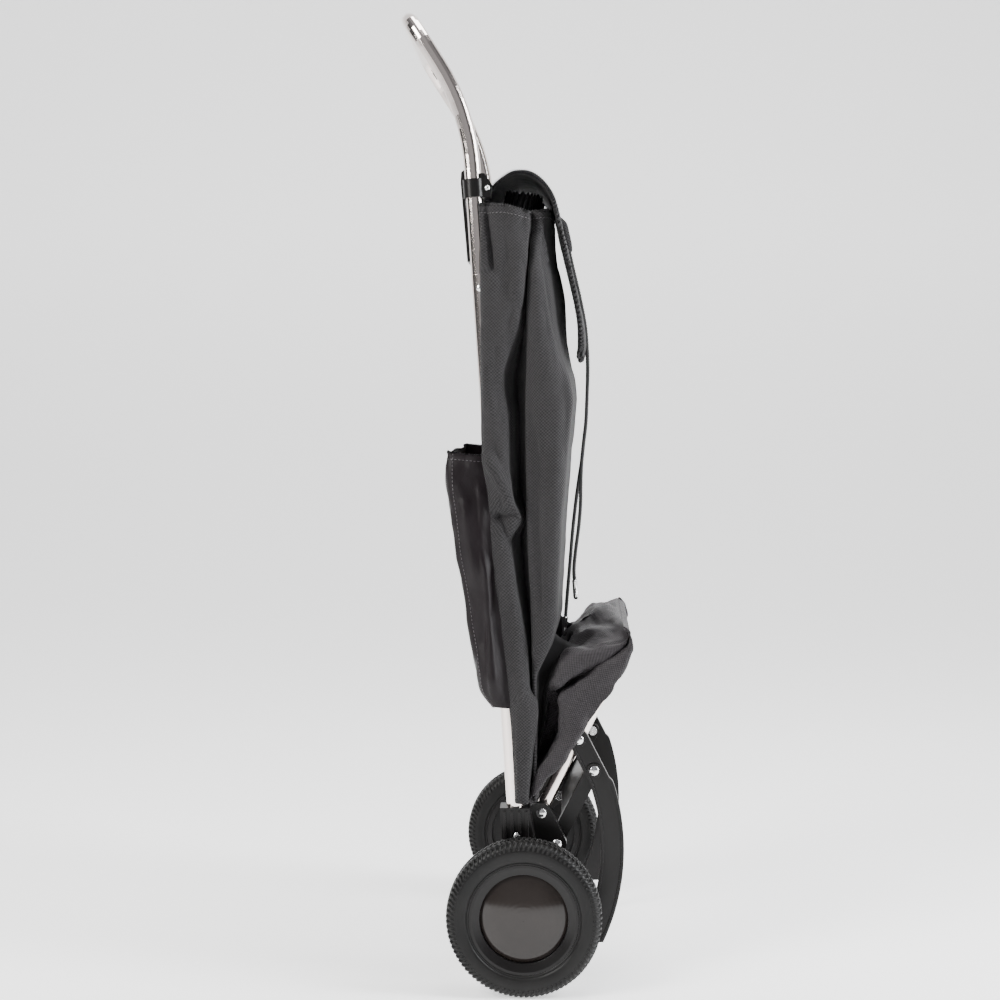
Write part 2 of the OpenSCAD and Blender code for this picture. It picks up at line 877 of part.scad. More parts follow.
side_tube(RIGHT);  // right_side_tube
side_tube(LEFT);  // left_side_tube
tube_spigot(RIGHT);  // right_tube_spigot
tube_spigot(LEFT);  // left_tube_spigot
handle_bow();
tube_rivets();
upper_crossbar();
hanging_hook();
lower_crossbar();
bracket(RIGHT);  // right_bracket
bracket(LEFT);  // left_bracket
bracket_screws();
axle();
axle_spacers();
axle_nuts();
shelf_pivot_rivets();
strut_pivot_rivets();
shelf_pivot_washers();
strut_pivot_washers();
bag_body();
rear_pocket();
bag_clips();
clip_rivets();
tyre(RIGHT);  // right_tyre
rim(RIGHT);  // right_rim
hubcap(RIGHT);  // right_hubcap
bush(RIGHT);  // right_bush
tyre(LEFT);  // left_tyre
rim(LEFT);  // left_rim
hubcap(LEFT);  // left_hubcap
bush(LEFT);  // left_bush
shelf_tube();
base_board();
bag_base();
leg_pivot_rivets();
leg_pivot_washers();
leg(RIGHT);  // right_leg
leg(LEFT);  // left_leg
strut_panel();
link_pivot_rivets();
link_pivot_washers();
flap();
cord_tab();
cord(long_strand);  // long_cord
cord(short_strand);  // short_cord
cord_tip(long_strand);  // long_cord_tip
cord_tip(short_strand);  // short_cord_tip
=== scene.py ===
import json
import math

import bpy
import numpy as np
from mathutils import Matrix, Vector, noise


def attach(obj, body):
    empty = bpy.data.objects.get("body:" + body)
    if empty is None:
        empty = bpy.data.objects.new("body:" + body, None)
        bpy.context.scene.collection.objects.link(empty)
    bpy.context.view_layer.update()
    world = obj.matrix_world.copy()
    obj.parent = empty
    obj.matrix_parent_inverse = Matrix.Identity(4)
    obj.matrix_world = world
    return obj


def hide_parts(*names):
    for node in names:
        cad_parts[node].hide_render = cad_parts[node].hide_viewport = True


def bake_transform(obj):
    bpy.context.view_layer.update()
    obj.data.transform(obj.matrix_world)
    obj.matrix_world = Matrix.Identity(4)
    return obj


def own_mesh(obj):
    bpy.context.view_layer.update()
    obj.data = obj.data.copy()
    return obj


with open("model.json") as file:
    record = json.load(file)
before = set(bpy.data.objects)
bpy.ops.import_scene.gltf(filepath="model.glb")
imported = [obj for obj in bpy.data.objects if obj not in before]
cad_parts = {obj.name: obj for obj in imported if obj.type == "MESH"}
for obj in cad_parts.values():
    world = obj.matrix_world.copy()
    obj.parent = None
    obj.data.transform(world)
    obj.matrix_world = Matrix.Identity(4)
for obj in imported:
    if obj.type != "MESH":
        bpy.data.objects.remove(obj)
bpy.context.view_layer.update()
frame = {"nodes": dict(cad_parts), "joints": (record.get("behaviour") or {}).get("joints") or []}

MM = 0.001
JOINTS = {j["name"]: j for j in frame["joints"]}
AXLE_X = JOINTS["right_wheel_spin"]["pos_m"][0]
NODES = frame["nodes"]


def at(x, y, z):
    """A point in the row frame from millimetres measured from the axle."""
    return (x * MM + AXLE_X, y * MM, z * MM)


def place(points):
    """The same for an array of points."""
    p = np.asarray(points, float) * MM
    p[..., 0] += AXLE_X
    return p


# ---------------------------------------------------------------- camera and light

# The photo's viewpoint. The camera stays level, and a small shift puts the horizon at the photo's height.
CAMERA_AT = at(60, -2022, 629)
CAMERA_TURN_DEG = 2.66
LENS, SENSOR = 62.6, 36.0
LENS_SHIFT = -0.1


def add_camera():
    data = bpy.data.cameras.new("camera")
    data.lens = LENS
    data.sensor_width = SENSOR
    data.shift_y = LENS_SHIFT
    camera = bpy.data.objects.new("camera", data)
    bpy.context.scene.collection.objects.link(camera)
    camera.location = CAMERA_AT
    camera.rotation_euler = (math.radians(90), 0, math.radians(CAMERA_TURN_DEG))
    bpy.context.scene.camera = camera


def add_light(name, place_m, target, size, power, tint):
    """A rectangular light at one point that faces another, both in metres."""
    data = bpy.data.lights.new(name, "AREA")
    data.shape = "RECTANGLE"
    data.size, data.size_y = size
    data.energy = power
    data.color = tint
    light = bpy.data.objects.new(name, data)
    bpy.context.scene.collection.objects.link(light)
    light.location = place_m
    aim = Vector(target) - Vector(place_m)
    light.rotation_euler = aim.to_track_quat("-Z", "Y").to_euler()


add_camera()
add_light("key_light", (-1.5, -1.3, 1.7), (0, 0, 0.55), size=(0.8, 1.5), power=84, tint=(1.0, 0.99, 0.97))
add_light("edge_light", (1.8, -0.5, 1.2), (0, 0, 0.4), size=(0.5, 1.8), power=80, tint=(0.97, 0.98, 1.0))
add_light("top_light", (0.3, 0.1, 2.4), (0, 0, 0.3), size=(1.4, 1.0), power=46, tint=(1.0, 1.0, 1.0))

SURROUND = {"From Min": 0.3, "From Max": 0.8, "To Min": 0.4, "To Max": 0.08}
BACKDROP_STRENGTH = 1.25

def build_world():
    """A pale surround that is darker to the left and right, so that bright metal has an edge."""
    world = bpy.data.worlds.new("studio")
    bpy.context.scene.world = world
    world.use_nodes = True
    nodes, links = world.node_tree.nodes, world.node_tree.links
    where = nodes.new("ShaderNodeTexCoord")
    parts = nodes.new("ShaderNodeSeparateXYZ")
    links.new(where.outputs["Generated"], parts.inputs[0])
    size = nodes.new("ShaderNodeMath")
    size.operation = "ABSOLUTE"
    links.new(parts.outputs["X"], size.inputs[0])
    side = nodes.new("ShaderNodeMapRange")
    for key, value in SURROUND.items():
        side.inputs[key].default_value = value
    links.new(size.outputs[0], side.inputs["Value"])
    path = nodes.new("ShaderNodeLightPath")
    pick = nodes.new("ShaderNodeMix")
    links.new(path.outputs["Is Camera Ray"], pick.inputs[0])
    links.new(side.outputs["Result"], pick.inputs[2])
    pick.inputs[3].default_value = BACKDROP_STRENGTH
    links.new(pick.outputs[0], nodes["Background"].inputs["Strength"])
    nodes["Background"].inputs["Color"].default_value = (0.97, 0.97, 1, 1)


build_world()


# ---------------------------------------------------------------- materials


class Maker:
    """Adds nodes to one material. A value is either a constant or another node's output."""

    def __init__(self, name):
        self.material = bpy.data.materials.new(name)
        self.material.use_nodes = True
        self.tree = self.material.node_tree
        self.shader = self.tree.nodes["Principled BSDF"]

    def add(self, kind, inputs=None, **settings):
        n = self.tree.nodes.new(kind)
        for key, value in settings.items():
            setattr(n, key, value)
        for key, value in (inputs or {}).items():
            self.put(n.inputs[key], value)
        return n

    def put(self, socket, value):
        if isinstance(value, bpy.types.NodeSocket):
            self.tree.links.new(value, socket)
        else:
            socket.default_value = value

    def set(self, **values):
        """Sets the shader's own sockets."""
        for key, value in values.items():
            self.put(self.shader.inputs[key.replace("_", " ")], value)

    def math(self, operation, a, b=0.0):
        n = self.add("ShaderNodeMath", operation=operation)
        self.put(n.inputs[0], a)
        self.put(n.inputs[1], b)
        return n.outputs[0]

    def ramp(self, value, low, high, start=0.0, end=1.0):
        """Turns start to end into low to high."""
        n = self.add("ShaderNodeMapRange", {"Value": value})
        for key, x in (("From Min", start), ("From Max", end), ("To Min", low), ("To Max", high)):
            n.inputs[key].default_value = x
        return n.outputs["Result"]

    def mix(self, factor, a, b):
        n = self.add("ShaderNodeMix", data_type="RGBA")
        self.put(n.inputs[0], factor)
        self.put(n.inputs[6], a)
        self.put(n.inputs[7], b)
        return n.outputs[2]

    def noise(self, vector, scale, detail=4.0):
        n = self.add("ShaderNodeTexNoise", {"Vector": vector, "Scale": scale, "Detail": detail})
        return n.outputs["Fac"]

    def stretched(self, vector, scale):
        n = self.add("ShaderNodeMapping", {"Vector": vector})
        n.inputs["Scale"].default_value = scale
        return n.outputs["Vector"]

    def coordinates(self, kind):
        return self.add("ShaderNodeTexCoord").outputs[kind]

    def bump(self, height, distance, strength=1.0, normal=None):
        n = self.add("ShaderNodeBump", {"Height": height, "Distance": distance, "Strength": strength})
        if normal is not None:
            self.put(n.inputs["Normal"], normal)
        return n.outputs["Normal"]

    def rounded(self, radius):
        return self.add("ShaderNodeBevel", {"Radius": radius}, samples=4).outputs["Normal"]


def metal(name, colour, roughness, grain=(40, 40, 2)):
    """Polished metal with faint lines, finest along the axes where grain is largest."""
    m = Maker(name)
    where = m.coordinates("Object")
    lines = m.noise(m.stretched(where, grain), 60, 6)
    cloud = m.noise(where, 9, 3)
    m.set(
        Base_Color=m.mix(cloud, [0.9 * c for c in colour] + [1], [*colour, 1]),
        Metallic=1.0,
        Roughness=m.math("ADD", m.ramp(lines, -0.05, 0.07), roughness),
        Normal=m.bump(lines, 0.00006, 0.35, m.rounded(0.0004)),
    )
    return m.material


def plastic(name, colour, roughness, radius=0.0007, grain=900, relief=0.00008, coat=0.0, specular=0.22):
    """Moulded plastic with a fine grain and softened edges."""
    m = Maker(name)
    where = m.coordinates("Object")
    fine = m.noise(where, grain, 3)
    cloud = m.noise(where, 22, 4)
    light = [min(1.0, 1.5 * c) for c in colour]
    m.set(
        Base_Color=m.mix(cloud, [*colour, 1], [*light, 1]),
        Roughness=m.math("ADD", m.ramp(cloud, -0.05, 0.07), roughness),
        Normal=m.bump(fine, relief, 0.5, m.rounded(radius)),
        Coat_Weight=coat,
        Specular_IOR_Level=specular,
    )
    return m.material


def cloth(name, colour, light, period, roughness=0.8, sheen=0.3, relief=0.00035):
    """A woven fabric. The weave follows the piece's UV map, which is in metres along the cloth."""
    m = Maker(name)
    uv = m.coordinates("UV")
    parts = m.add("ShaderNodeSeparateXYZ", {"Vector": uv})
    turn = 2 * math.pi / period
    warp = m.math("SINE", m.math("MULTIPLY", parts.outputs[0], turn))
    weft = m.math("SINE", m.math("MULTIPLY", parts.outputs[1], turn))
    weave = m.ramp(m.math("MULTIPLY", warp, weft), 0, 1, -1, 1)
    fleck = m.noise(uv, 0.9 / period, 5)
    cloud = m.noise(uv, 14, 4)
    mixed = m.math("ADD", m.math("MULTIPLY", weave, 0.7), m.math("MULTIPLY", fleck, 0.45))
    shade = m.mix(m.ramp(mixed, 0, 1, 0.25, 0.95), [*colour, 1], [*light, 1])
    rubbed = [0.8 * (a + b) for a, b in zip(colour, light)] + [1]
    worn = m.mix(m.ramp(cloud, 0, 0.35, 0.35, 0.75), shade, rubbed)
    m.set(
        Base_Color=worn,
        Roughness=m.ramp(fleck, roughness - 0.1, roughness + 0.08),
        Sheen_Weight=sheen,
        Sheen_Roughness=0.5,
        Specular_IOR_Level=0.18,
        Normal=m.bump(mixed, relief, 1.0),
    )
    return m.material


def rubber(name):
    """Black rubber with a little dust."""
    m = Maker(name)
    where = m.coordinates("Object")
    fine = m.noise(where, 700, 4)
    dust = m.noise(where, 18, 5)
    clean, dusty = (0.003, 0.003, 0.003, 1), (0.0085, 0.008, 0.0078, 1)
    m.set(
        Base_Color=m.mix(m.ramp(dust, 0, 1, 0.35, 0.75), clean, dusty),
        Roughness=m.ramp(dust, 0.32, 0.5),
        Specular_IOR_Level=0.2,
        Normal=m.bump(fine, 0.00012, 0.5),
    )
    return m.material


def wood(name):
    """Dark hardboard with a streaked surface."""
    m = Maker(name)
    where = m.coordinates("Object")
    fibre = m.noise(m.stretched(where, (1, 12, 1)), 60, 8)
    m.set(
        Base_Color=m.mix(fibre, [0.006, 0.0055, 0.005, 1], [0.022, 0.019, 0.017, 1]),
        Roughness=m.ramp(fibre, 0.65, 0.85),
        Normal=m.bump(fibre, 0.0003, 0.5),
    )
    return m.material


ALUMINIUM = metal("polished_aluminium", (0.86, 0.78, 0.74), roughness=0.11)
STEEL = metal("bright_steel", (0.82, 0.82, 0.82), roughness=0.16, grain=(20, 20, 20))
PLASTIC = plastic("black_satin_plastic", (0.0042, 0.0038, 0.0038), roughness=0.3)
GLOSS = plastic("gloss_plastic", (0.013, 0.0105, 0.0095), roughness=0.12, radius=0.0004, grain=300,
                relief=0.00002, coat=0.08, specular=0.3)
NYLON = plastic("white_nylon", (0.62, 0.6, 0.55), roughness=0.45)
RUBBER = rubber("tyre_rubber")
BOARD = wood("base_board")
BAG = cloth("bag_weave", (0.0022, 0.002, 0.0022), (0.031, 0.0295, 0.031), period=0.0035, roughness=0.72,
            sheen=0.06, relief=0.0008)
LINING = cloth("black_lining", (0.006, 0.006, 0.006), (0.018, 0.017, 0.018), period=0.0012, roughness=0.6,
               sheen=0.05, relief=0.00015)
POCKET = cloth("pocket_nylon", (0.0018, 0.001, 0.0014), (0.0065, 0.0036, 0.005), period=0.0016,
               roughness=0.36, sheen=0.01, relief=0.0002)
LOBE = cloth("bag_nylon", (0.004, 0.0035, 0.004), (0.034, 0.03, 0.033), period=0.0032, roughness=0.46,
             sheen=0.05, relief=0.0006)
BRAID = cloth("braided_cord", (0.008, 0.008, 0.008), (0.05, 0.05, 0.05), period=0.0011, roughness=0.6,
              sheen=0.1)
THREAD = cloth("grey_thread", (0.05, 0.045, 0.05), (0.17, 0.16, 0.165), period=0.0008, roughness=0.6,
               sheen=0.1)
PIPING = cloth("edge_binding", (0.007, 0.0065, 0.007), (0.042, 0.04, 0.042), period=0.0036, roughness=0.6,
               sheen=0.08, relief=0.0003)

CAD_LOOKS = {
    ALUMINIUM: ["right_side_tube", "left_side_tube", "handle_bow", "upper_crossbar", "lower_crossbar",
                "shelf_tube"],
    STEEL: ["axle", "axle_nuts", "tube_rivets", "bracket_screws", "shelf_pivot_rivets",
            "strut_pivot_rivets", "leg_pivot_rivets", "link_pivot_rivets", "clip_rivets", "long_cord_tip",
            "short_cord_tip"],
    PLASTIC: ["right_bracket", "left_bracket", "right_leg", "left_leg", "strut_panel", "hanging_hook",
              "bag_clips", "right_rim", "left_rim", "right_tube_spigot", "left_tube_spigot",
              "axle_spacers"],
    GLOSS: ["right_hubcap", "left_hubcap"],
    NYLON: ["right_bush", "left_bush", "shelf_pivot_washers", "strut_pivot_washers", "leg_pivot_washers",
            "link_pivot_washers"],
    BOARD: ["base_board"],
}
for look, names in CAD_LOOKS.items():
    for name in names:
        mesh = NODES[name].data
        mesh.materials.clear()
        mesh.materials.append(look)


# ---------------------------------------------------------------- meshes


def piece(name, points, faces, material, uv=None):
    """A smooth-shaded mesh object from points in metres, with one uv pair for each point."""
    mesh = bpy.data.meshes.new(name)
    mesh.from_pydata(np.asarray(points, float).reshape(-1, 3).tolist(), [], [list(f) for f in faces])
    mesh.materials.append(material)
    if uv is not None:
        layer = mesh.uv_layers.new(name="cloth")
        corners = np.empty(len(mesh.loops), int)
        mesh.loops.foreach_get("vertex_index", corners)
        uv = np.asarray(uv, float).reshape(-1, 2)
        layer.data.foreach_set("uv", uv[corners].astype(np.float32).ravel())
    mesh.polygons.foreach_set("use_smooth", [True] * len(mesh.polygons))
    mesh.validate()
    mesh.update()
    thing = bpy.data.objects.new(name, mesh)
    bpy.context.scene.collection.objects.link(thing)
    return thing


def spline(points, steps, closed=False):
    """A smooth curve through points, along the first axis of an array."""
    p = np.asarray(points, float)
    if closed:
        q = np.concatenate([p[-1:], p, p[:2]])
    else:
        q = np.concatenate([2 * p[:1] - p[1:2], p, 2 * p[-1:] - p[-2:-1]])
    out = []
    for i in range(1, len(q) - 2):
        a, b, c, d = q[i - 1], q[i], q[i + 1], q[i + 2]
        for k in range(steps):
            t = k / steps
            curve = 2 * b + (c - a) * t + (2 * a - 5 * b + 4 * c - d) * t**2
            out.append(0.5 * (curve + (3 * b - a - 3 * c + d) * t**3))
    if not closed:
        out.append(p[-1])
    return np.array(out)


def grid_faces(rows, columns, closed=False):
    """Quads between the points of a grid, also from its last column to its first if it is closed."""
    faces = []
    for i in range(rows - 1):
        for k in range(columns if closed else columns - 1):
            n = (k + 1) % columns
            faces.append((i * columns + k, i * columns + n, (i + 1) * columns + n, (i + 1) * columns + k))
    return faces


def shifted(faces, base):
    """The same faces for points that start at index base."""
    return [tuple(base + v for v in face) for face in faces]


def run_along(line):
    """The distance along a line at each of its points."""
    return np.concatenate([[0], np.cumsum(np.linalg.norm(np.diff(line, axis=0), axis=1))])


def tangents(line):
    """The direction of a line at each of its points."""
    t = np.gradient(line, axis=0)
    return t / np.linalg.norm(t, axis=1, keepdims=True)




def cloth_uv(grid, panels=()):
    """Lengths along the cloth, in metres, for each point of a grid.

    Each panel is a first column, a last column and the column in it whose threads run straight."""
    across = np.linalg.norm(np.diff(grid, axis=1), axis=2)
    along = np.linalg.norm(np.diff(grid, axis=0), axis=2)
    u = np.concatenate([np.zeros((len(grid), 1)), np.cumsum(across, axis=1)], axis=1)
    v = np.concatenate([[0], np.cumsum(along.mean(axis=1))])
    for first, last, straight in panels or [(0, grid.shape[1], grid.shape[1] // 2)]:
        drift = u[:, straight] - u[:, straight].mean()
        u[:, first:last] -= drift[:, None]
    return np.stack([u, np.repeat(v[:, None], grid.shape[1], 1)], axis=2)


def table(pairs, soft=7.0):
    """A function through (position, value) pairs, smoothed over about soft millimetres."""
    margin, half = 60, 40
    xs, ys = np.array(sorted(pairs), float).T
    fine = np.arange(xs[0] - margin, xs[-1] + margin, 1.0)
    values = np.interp(fine, xs, ys)
    kernel = np.exp(-0.5 * (np.arange(-half, half + 1) / soft) ** 2)
    values = np.convolve(np.pad(values, half, "edge"), kernel / kernel.sum(), "valid")
    return lambda z: np.interp(z, fine, values)


def ruffle(points, size, height, seed, stretch=0.4):
    """Smooth noise for each point of a grid, drawn out along Z where stretch is below 1."""
    shift = Vector((seed * 13.7, seed * 5.1, seed * 9.3))
    flat = points.reshape(-1, 3) * [1 / size, 1 / size, stretch / size]
    values = [height * noise.fractal(Vector(p) + shift, 1.0, 2.0, 3) for p in flat]
    return np.array(values).reshape(points.shape[:2])


def normals_of(grid):
    """The unit normal at each point of a grid."""
    du = np.gradient(grid, axis=1)
    dv = np.gradient(grid, axis=0)
    n = np.cross(du, dv)
    return n / np.maximum(np.linalg.norm(n, axis=2, keepdims=True), 1e-9)


def thicken(thing, thickness, offset=-1.0, inner=0):
    """Gives a cloth its thickness. inner is the material slot of the added side."""
    m = thing.modifiers.new("thickness", "SOLIDIFY")
    m.thickness = thickness
    m.offset = offset
    m.material_offset = inner


def tube_along(name, line, radius, material, sides=8):
    """A tube with closed ends along a line of points in metres.

    Each ring is turned by about half a turn from the one before, which pinches the tube into teeth."""
    line = np.asarray(line, float)
    up = np.array([0.0, 1.0, 0.0])
    rings = []
    for p, d in zip(line, tangents(line)):
        n = np.cross(d, up)
        if np.linalg.norm(n) < 0.2:
            n = np.cross(d, [1.0, 0, 0])
        n /= np.linalg.norm(n)
        b = np.cross(d, n)
        up = b if abs(b @ up) > 0.2 else up
        if b @ up < 0:
            n, b = -n, -b
        rings.append([p + radius * (n * math.cos(a) + b * math.sin(a))
                      for a in np.linspace(0, 2 * math.pi, sides, endpoint=False)])
    faces = grid_faces(len(line), sides, True)
    faces += [list(range(sides))[::-1], [(len(line) - 1) * sides + k for k in range(sides)]]
    around = np.arange(sides) * 2 * math.pi * radius / sides
    return piece(name, rings, faces, material, np.stack(np.meshgrid(around, run_along(line)), 2))


# ---------------------------------------------------------------- drawstring

CORE_R, CORE_SIDES = 2.0, 8
STRAND_R, STRAND_SIDES = 0.62, 5
BRAID_R, BRAID_WAVE, BRAID_PITCH = 1.72, 0.22, 13

# The strands' routes from the flap's tab down, side by side at first. The short one ends higher.
SHARED = [[46.6, 801], [51.3, 780], [58.4, 750], [64.8, 717], [67.2, 690], [68, 665], [67.4, 640], [66, 605],
          [63.5, 582], [61, 558]]
SHORT = [[x, -4, z] for x, z in SHARED] + [[60, -4, 535], [59.6, -5, 508], [57.5, -6, 482], [54, -6, 455],
                                           [52, -6, 432], [53, -6, 418]]
LONG = [[x, 4, z] for x, z in SHARED] + [[57.5, 4, 535], [53.9, 5, 508], [50.4, 6, 476], [47.5, 6, 441],
                                         [44.5, 6, 406], [42, 6, 374]]


def braided_cord(name, route, node):
    """Eight strands that spiral both ways round the cord's line, over a plain core."""
    path = place(spline(route, 6))
    fine = spline(path, 3)
    s = run_along(fine)
    t = tangents(fine)
    n = np.cross(t, [0, 1.0, 0])
    n /= np.linalg.norm(n, axis=1, keepdims=True)
    b = np.cross(t, n)
    points, faces, uv = [], [], []

    def strand(line, radius, count):
        base = len(points)
        for i, p in enumerate(line):
            for k in range(count):
                a = 2 * math.pi * k / count
                points.append(p + radius * (n[i] * math.cos(a) + b[i] * math.sin(a)))
                uv.append((a * radius, s[i]))
        faces.extend(shifted(grid_faces(len(line), count, True), base))
        faces.append(tuple(base + k for k in range(count))[::-1])
        faces.append(tuple(base + (len(line) - 1) * count + k for k in range(count)))

    strand(fine, CORE_R * MM, CORE_SIDES)
    pitch = BRAID_PITCH * MM
    for way, phase in ((1, 0), (-1, math.pi)):
        for k in range(4):
            a = way * 2 * math.pi * s / pitch + k * math.pi / 2
            weave = BRAID_R * MM + BRAID_WAVE * MM * np.cos(4 * math.pi * s / pitch * 2 + phase)
            turn = n * np.cos(a)[:, None] + b * np.sin(a)[:, None]
            strand(fine + weave[:, None] * turn, STRAND_R * MM, STRAND_SIDES)
    cord = piece(name, points, faces, BRAID, uv)
    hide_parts(node)
    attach(cord, "flap_body")
    return cord


FERRULE_PROFILE = [(-2.5, 2.75), (-2.5, 3.05), (-1.5, 3.2), (0, 3.05), (1, 2.95), (9, 2.95), (9.6, 2.7),
                   (10.2, 2.95), (16.5, 2.95), (18.6, 2.6), (19.8, 1.5), (20, 0.4)]
FERRULE_SIDES = 24


def build_ferrule(name, node, route):
    """The metal tip of one strand, turned round the strand's last stretch."""
    end, before = np.array(route[-1], float), np.array(route[-2], float)
    d = (end - before) / np.linalg.norm(end - before)
    side = np.cross(d, [0, 1.0, 0])
    side /= np.linalg.norm(side)
    third = np.cross(d, side)
    rings = [[end + d * along + r * (side * math.cos(a) + third * math.sin(a))
              for a in np.linspace(0, 2 * math.pi, FERRULE_SIDES, endpoint=False)]
             for along, r in FERRULE_PROFILE]
    last = (len(FERRULE_PROFILE) - 1) * FERRULE_SIDES
    faces = grid_faces(len(FERRULE_PROFILE), FERRULE_SIDES, True)
    faces.append([last + k for k in range(FERRULE_SIDES)])
    ferrule = piece(name, place(rings), faces, STEEL)
    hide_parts(node)
    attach(ferrule, "flap_body")
    return ferrule


short_tip = build_ferrule("short_cord_ferrule", "short_cord_tip", SHORT)
long_tip = build_ferrule("long_cord_ferrule", "long_cord_tip", LONG)
short_cord = braided_cord("short_drawstring", SHORT, "short_cord")
long_cord = braided_cord("long_drawstring", LONG, "long_cord")
for thing in (short_cord, long_cord, short_tip, long_tip):
    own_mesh(thing)


# ---------------------------------------------------------------- bag


TUBE_AT = (-5.6, 110)
TUBE_LEAN = math.radians(3.84)


def tube_x(z):
    """Where the leaning side tubes' middle is at height z."""
    return TUBE_AT[0] - math.tan(TUBE_LEAN) * (np.asarray(z, float) - TUBE_AT[1])


# Lines of the bag's side as (height, distance from the axle), then its front's bulge and its folds' reach.
rear_edge = table([(846, -45), (700, -45), (585, -45), (571, -43.5), (485, -35), (400, -26), (297, -14.5),
                   (277, -11.5), (205, -8)])
column_edge = table([(840, 3), (825.7, 3.3), (784, 1.1), (756, -1.1), (709, -7.6), (681, -17.4), (662, -23.9),
                     (640, -23.9), (617, -19.5), (551, -17.4), (525, -17), (512, -9), (500, -4), (493, -8),
                     (481, -17), (434, -10.9), (390, -3.2), (367, 1.1), (314, 4), (307, 12), (289, 13),
                     (255, 8), (194, 2)], 4)
front_left = table([(840, 8), (791, 6), (738, 3.3), (683, 3.3), (629, 2.2), (575, 2.2), (499, 3.3),
                    (444, 5.5), (412, 7.6), (357, 8.7), (330, 8.7), (300, 10)])
front_right = table([(840, 21), (810, 17), (784, 15), (759, 19.6), (709, 27.2), (676, 35.9), (651, 45.7),
                     (629, 50), (601, 46.8), (567, 43.5), (534, 41.3), (501, 38), (459, 35.9), (390, 32.6),
                     (368, 27.2), (350, 19.6), (332, 11), (300, 11)], 4)
front_bulge = table([(840, 6), (790, 14), (750, 18), (720, 15), (690, 11), (650, 6), (629, 3), (400, 3),
                     (350, 2), (330, 0.5)])
front_reach = table([(840, 118), (815, 124), (795, 138), (770, 149), (740, 151), (360, 151), (335, 144)])
valley_reach = table([(840, 112), (800, 100), (700, 92), (400, 92), (330, 96), (200, 110)])


def column_section(z, side):
    """Half of the bag's outline at height z, from the middle of the back to the middle of the front."""
    back = tube_x(z) + 9.6
    rear, edge = rear_edge(z), column_edge(z)
    left, right = front_left(z), front_right(z)
    left = min(left, right - 1.0)
    reach, deep = front_reach(z), valley_reach(z)
    middle = 0.5 * (rear + edge)
    fold = 0.5 * (edge + left)
    if side > 0:
        wobble = 3.0 * math.sin(z / 61 + 1.0)
        edge, left, middle = edge + wobble, left + 0.4 * wobble, middle + 0.5 * wobble
        edge = min(edge, left - 3)
    bulge = front_bulge(z)
    points = [(back, 0), (back, 60), (back, 118), (back - 0.2, 143), (back - 1.5, 149.7),
              (min(back - 4, rear + 4), 150.3), (rear, 150.6), (rear - 0.8, 151.6), (rear + 1.5, 153.4),
              (0.6 * rear + 0.4 * middle, 155.2), (middle, 156.2), (0.45 * middle + 0.55 * edge, 155.6),
              (edge - 1.5, 152.5), (edge, 148), (edge - 0.5, 138), (0.5 * (edge + fold), 118), (fold, deep),
              (0.5 * (left + fold) + 1, 116), (left - 0.5, reach - 14), (left, reach - 5),
              (left + 0.06 * (right - left), reach - 1), (0.7 * left + 0.3 * right, reach + 2),
              (0.4 * left + 0.6 * right, reach + 3), (0.12 * left + 0.88 * right, reach + 1),
              (right, reach - 4), (right + 0.35 * bulge, reach - 18), (right + 0.8 * bulge, 70),
              (right + bulge, 0)]
    return np.array([(x, side * y, z) for x, y in points])


# All creases are this much deeper than listed.
FOLD_GAIN = 2.1


def crease(x, z, start, end, width, height):
    """Height of a fold that runs from one point to another in side view, fading at both ends."""
    a, b = np.array(start, float), np.array(end, float)
    d = b - a
    length = np.linalg.norm(d)
    d /= length
    along = ((x - a[0]) * d[0] + (z - a[1]) * d[1]) / length
    off = (x - a[0]) * d[1] - (z - a[1]) * d[0]
    fade = np.clip(np.minimum(along, 1 - along) * 5 + 0.4, 0, 1)
    sharp = np.where(off > 0, np.exp(-np.abs(off) / width), np.exp(-((off / (1.6 * width)) ** 2)))
    return FOLD_GAIN * height * fade * sharp


# The folds of the bag's sides: start and end as (x, z), width, height.
SIDE_CREASES = [((-43, 570), (-4, 499), 5, 4.0), ((-34, 500), (-6, 506), 5, -3.0),
                ((-30, 512), (-16, 470), 4, -2.5), ((-40, 640), (-24, 560), 4, 1.5),
                ((-42, 835), (-32, 760), 4, -3.0), ((-33, 780), (-38, 640), 5, 1.5),
                ((-4, 800), (-16, 660), 6, 1.3), ((-30, 560), (-22, 400), 5, 1.4),
                ((-14, 440), (-4, 300), 5, 1.3), ((12, 740), (24, 560), 5, 1.6),
                ((24, 700), (30, 420), 5, 1.2), ((14, 600), (18, 400), 4, -1.5),
                ((33, 640), (31, 470), 4, 1.3), ((6, 350), (30, 385), 4, 1.5),
                ((46, 650), (34, 700), 5, -1.5)]


def shape_sides(grid):
    """Adds the pressed and hanging folds to the two sides of the bag, and small waves everywhere."""
    x, y, z = grid[..., 0], grid[..., 1], grid[..., 2]
    outer = np.clip((np.abs(y) - 125) / 18, 0, 1)
    lift = sum(crease(x, z, a, b, w, h) for a, b, w, h in SIDE_CREASES)
    lift += 0.9 * np.sin(x / 2.9 + z / 70) * np.clip((z - 380) / 80, 0, 1)
    far = y > 0
    lift = np.where(far, 0.6 * lift + 1.4 * np.sin(z / 34 + x / 9), lift)
    grid[..., 1] += np.sign(y) * outer * lift
    n = normals_of(grid)
    waves = ruffle(grid, 44, 5.0, 1) + ruffle(grid, 15, 1.5, 2)
    back = 0.5 * np.clip((x - tube_x(z) - 9.6) / 4, 0, 1)
    keep = np.where(np.abs(y) > 127, np.clip((np.abs(y) - 150.5) / 5, 0, 1), back)
    return grid + n * (np.abs(waves) * keep * np.clip((840 - z) / 12, 0.15, 1))[..., None]


COLUMN_LOW, COLUMN_FINE, COLUMN_TOP = 196, 300, 840.1
COLUMN_CLOTH = 1.6
